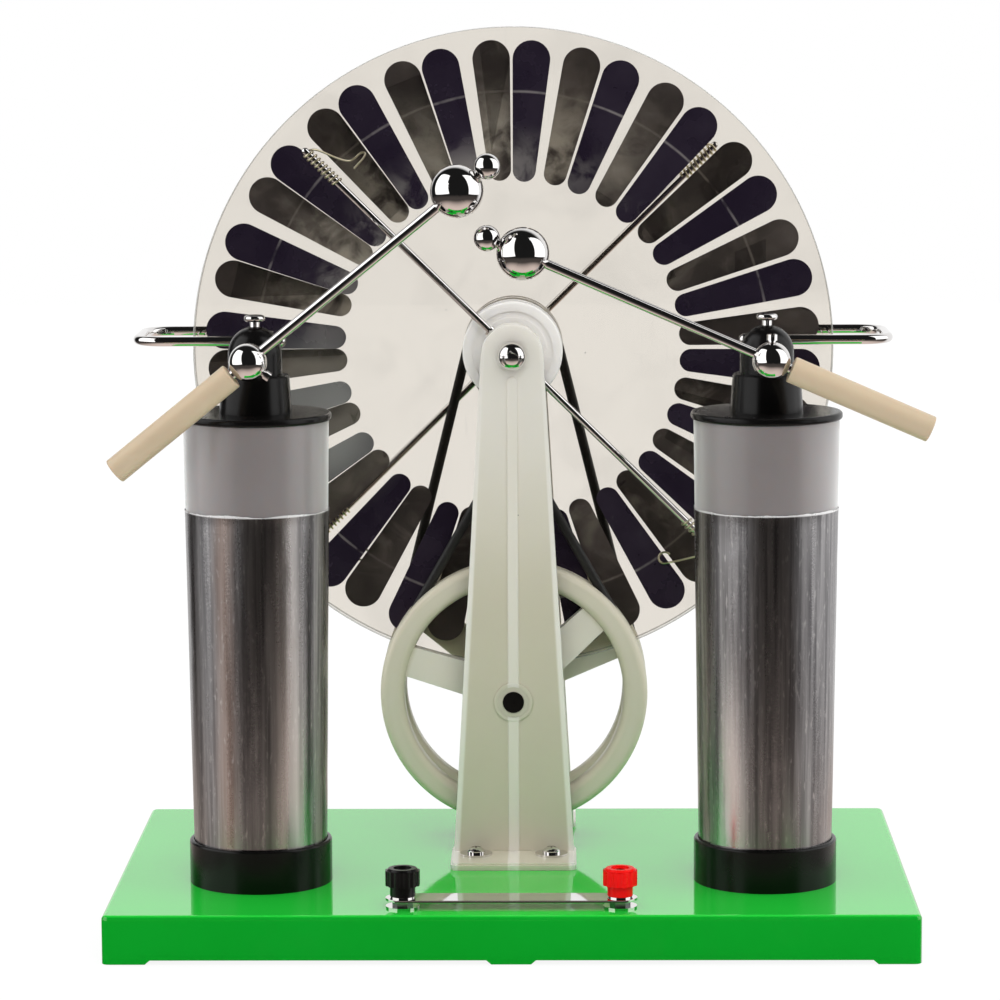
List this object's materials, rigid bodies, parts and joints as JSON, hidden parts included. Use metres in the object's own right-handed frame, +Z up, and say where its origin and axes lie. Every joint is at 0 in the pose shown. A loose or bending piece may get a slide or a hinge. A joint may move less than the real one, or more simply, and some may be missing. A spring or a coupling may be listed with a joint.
{
  "type": "electrostatic generator",
  "caption": "Bench electrostatic generator with counter-turning foil-sector discs, belt drive with hand crank, storage jars, point collectors and ball-ended discharge rods that swing and slide.",
  "frame": {"origin": "on the table under the middle of the base", "axes": "+X to the machine's right as seen from the front, +Y to the back, where the crank is, +Z up"},
  "size_m": [0.3362, 0.2194, 0.372],
  "materials": {
    "green_plastic": "glossy moulded green plastic",
    "milky_plastic": "milky translucent plastic, satin gloss",
    "frosted_bottle": "frosted translucent plastic",
    "disc_sheet": "pale milky plastic sheet, smooth",
    "dark_foil": "thin metal foil with fine rub marks",
    "bright_foil": "brushed thin metal foil with upright streaks",
    "black_plastic": "glossy black plastic",
    "red_plastic": "glossy red plastic",
    "beige_plastic": "satin beige plastic",
    "black_rubber": "matt black round rubber cord",
    "chrome_metal": "bright nickel plate",
    "plain_steel": "plain turned steel",
    "brass_metal": "bare brass"
  },
  "bodies": {
    "stand": {"base_tray": "green_plastic", "earth_strips": "brass_metal", "base_screws": "chrome_metal", "base_washers": "chrome_metal", "base_nuts": "plain_steel", "front_post": "milky_plastic", "rear_post": "milky_plastic", "disc_axle": "plain_steel", "axle_cap_nuts": "chrome_metal", "axle_spacers": "plain_steel", "shaft_bushes": "milky_plastic", "front_belt": "black_rubber", "rear_belt": "black_rubber", "left_jar_foot": "black_plastic", "left_bottle": "frosted_bottle", "left_outer_foil": "bright_foil", "left_jar_cap": "black_plastic", "left_head": "black_plastic", "left_collector": "chrome_metal", "right_jar_foot": "black_plastic", "right_bottle": "frosted_bottle", "right_outer_foil": "bright_foil", "right_jar_cap": "black_plastic", "right_head": "black_plastic", "right_collector": "chrome_metal", "inner_foils": "bright_foil", "jar_stems": "chrome_metal", "head_screws": "chrome_metal", "cross_rods": "chrome_metal", "binding_studs": "brass_metal"},
    "left_joint": {"left_joint_ball": "chrome_metal", "left_set_screw": "chrome_metal"},
    "left_arm": {"left_rod": "chrome_metal", "left_spark_balls": "chrome_metal", "left_handle": "beige_plastic"},
    "right_joint": {"right_joint_ball": "chrome_metal", "right_set_screw": "chrome_metal"},
    "right_arm": {"right_rod": "chrome_metal", "right_spark_balls": "chrome_metal", "right_handle": "beige_plastic"},
    "black_washer": {"black_knob_washer": "chrome_metal"},
    "black_nut": {"black_knob": "black_plastic"},
    "red_washer": {"red_knob_washer": "chrome_metal"},
    "red_nut": {"red_knob": "red_plastic"},
    "link": {"link_strip": "chrome_metal"},
    "drive": {"crank_shaft": "black_plastic", "front_wheel": "milky_plastic", "rear_wheel": "milky_plastic", "crank_arm": "black_plastic"},
    "grip": {"crank_knob": "black_plastic"},
    "front_plate": {"front_disc": "disc_sheet", "front_sectors": "dark_foil", "front_hub": "milky_plastic"},
    "rear_plate": {"rear_disc": "disc_sheet", "rear_sectors": "dark_foil", "rear_hub": "milky_plastic"},
    "front_neutralizer": {"front_neutral_rod": "chrome_metal", "front_brushes": "brass_metal"},
    "rear_neutralizer": {"rear_neutral_rod": "chrome_metal", "rear_brushes": "brass_metal"}
  },
  "joints": [
    {"name": "crank_turn", "type": "hinge", "parent": "stand", "child": "drive", "pos_m": [0, 0.0385, 0.0875], "axis": [0, 1, 0], "continuous": true},
    {"name": "grip_spin", "type": "hinge", "parent": "drive", "child": "grip", "pos_m": [0, 0.098, 0.0395], "axis": [0, 1, 0], "continuous": true},
    {"name": "front_disc_spin", "type": "hinge", "parent": "stand", "child": "front_plate", "pos_m": [0, 0.035, 0.235], "axis": [0, 1, 0], "continuous": true},
    {"name": "rear_disc_spin", "type": "hinge", "parent": "stand", "child": "rear_plate", "pos_m": [0, 0.042, 0.235], "axis": [0, 1, 0], "continuous": true},
    {"name": "front_neutralizer_swing", "type": "hinge", "parent": "stand", "child": "front_neutralizer", "pos_m": [0, 0.0174, 0.235], "axis": [0, 1, 0], "range_deg": [-30, 8]},
    {"name": "rear_neutralizer_swing", "type": "hinge", "parent": "stand", "child": "rear_neutralizer", "pos_m": [0, 0.0596, 0.235], "axis": [0, -1, 0], "range_deg": [-30, 8]},
    {"name": "left_arm_swing", "type": "hinge", "parent": "stand", "child": "left_joint", "pos_m": [-0.105, -0.076, 0.2405], "axis": [0, -1, 0], "range_deg": [-2, 40]},
    {"name": "left_arm_slide", "type": "slide", "parent": "left_joint", "child": "left_arm", "axis": [-0.7771, 0, -0.6293], "range_m": [0, 0.04]},
    {"name": "right_arm_swing", "type": "hinge", "parent": "stand", "child": "right_joint", "pos_m": [0.105, -0.076, 0.2405], "axis": [0, 1, 0], "range_deg": [-35, 35]},
    {"name": "right_arm_slide", "type": "slide", "parent": "right_joint", "child": "right_arm", "axis": [0.9171, 0, -0.3987], "range_m": [0, 0.04]},
    {"name": "black_nut_lift", "type": "slide", "parent": "stand", "child": "black_washer", "axis": [0, 0, 1], "range_m": [0, 0.0021]},
    {"name": "black_nut_turn", "type": "hinge", "parent": "black_washer", "child": "black_nut", "pos_m": [-0.044, -0.0895, 0.03], "axis": [0, 0, 1], "range_deg": [0, 1080]},
    {"name": "red_nut_lift", "type": "slide", "parent": "stand", "child": "red_washer", "axis": [0, 0, 1], "range_m": [0, 0.0021]},
    {"name": "red_nut_turn", "type": "hinge", "parent": "red_washer", "child": "red_nut", "pos_m": [0.044, -0.0895, 0.03], "axis": [0, 0, 1], "range_deg": [0, 1080]},
    {"name": "link_swing", "type": "hinge", "parent": "stand", "child": "link", "pos_m": [-0.044, -0.0895, 0.0247], "axis": [0, 0, 1], "range_deg": [-80, 0]}
  ],
  "couplings": [
    {"joint": "front_disc_spin", "follows": "crank_turn", "ratio": -2.8684},
    {"joint": "rear_disc_spin", "follows": "crank_turn", "ratio": 2.8684},
    {"joint": "black_nut_turn", "follows": "black_nut_lift", "rad_per_m": 8976},
    {"joint": "red_nut_turn", "follows": "red_nut_lift", "rad_per_m": 8976}
  ]
}
